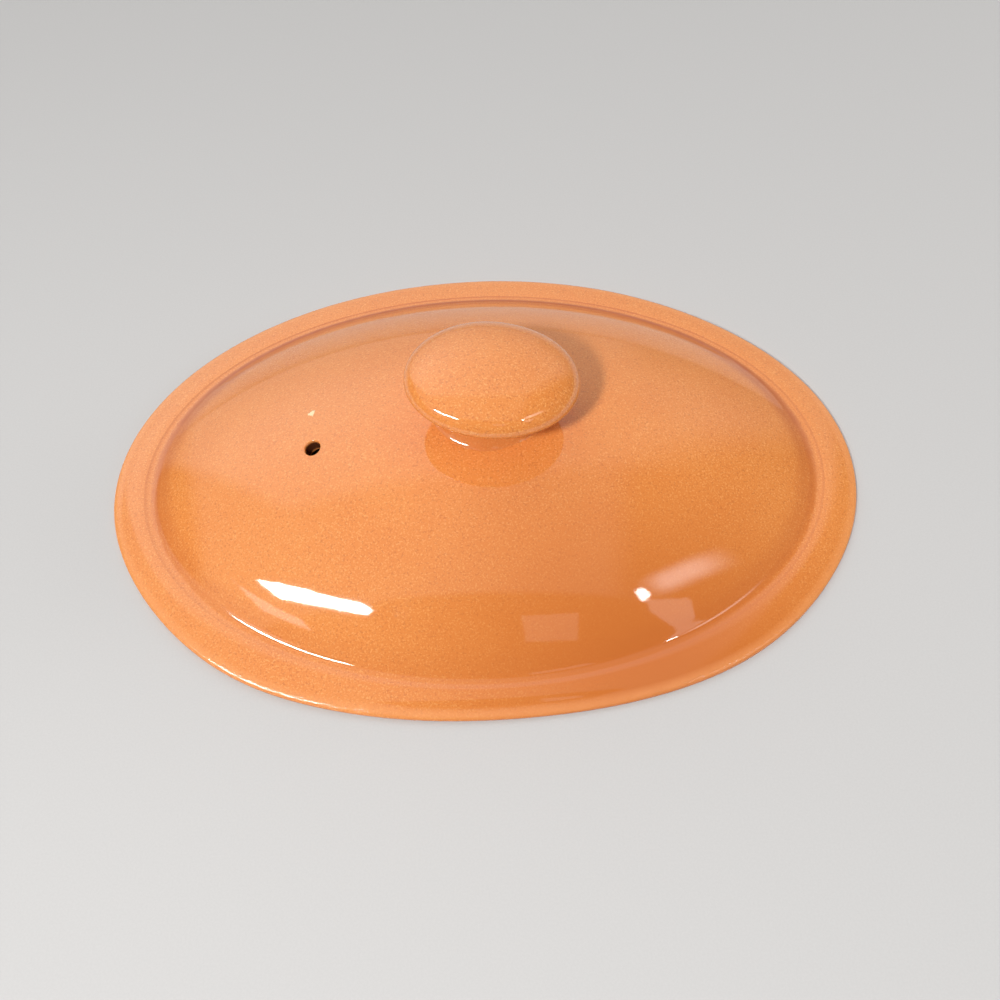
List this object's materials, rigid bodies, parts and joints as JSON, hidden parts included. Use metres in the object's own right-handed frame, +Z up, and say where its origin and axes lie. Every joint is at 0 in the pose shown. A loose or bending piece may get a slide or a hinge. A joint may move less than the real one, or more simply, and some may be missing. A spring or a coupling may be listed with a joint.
{
  "type": "oval casserole lid",
  "caption": "Oval glazed stoneware casserole lid: flat brim, low dome rising from a small cove, a pierced steam vent, and an oval mushroom knob luted on with slip.",
  "frame": {"origin": "centre of the oval footprint, on the resting face of the brim", "axes": "+X along the long axis of the oval, away from the steam vent; +Y across it; +Z up, towards the knob"},
  "size_m": [0.24, 0.17, 0.0621],
  "materials": {
    "shell_glaze": "clear glossy glaze over orange terracotta-coloured stoneware with fine dark and pale speckle",
    "knob_glaze": "the same clear glossy glaze over the same speckled clay",
    "slip_glaze": "clear glaze pooled over the smoothed slip, slightly darker than the lid"
  },
  "bodies": {
    "root": {"lid_shell": "shell_glaze", "knob": "knob_glaze", "knob_slip_collar": "slip_glaze"}
  },
  "joints": []
}
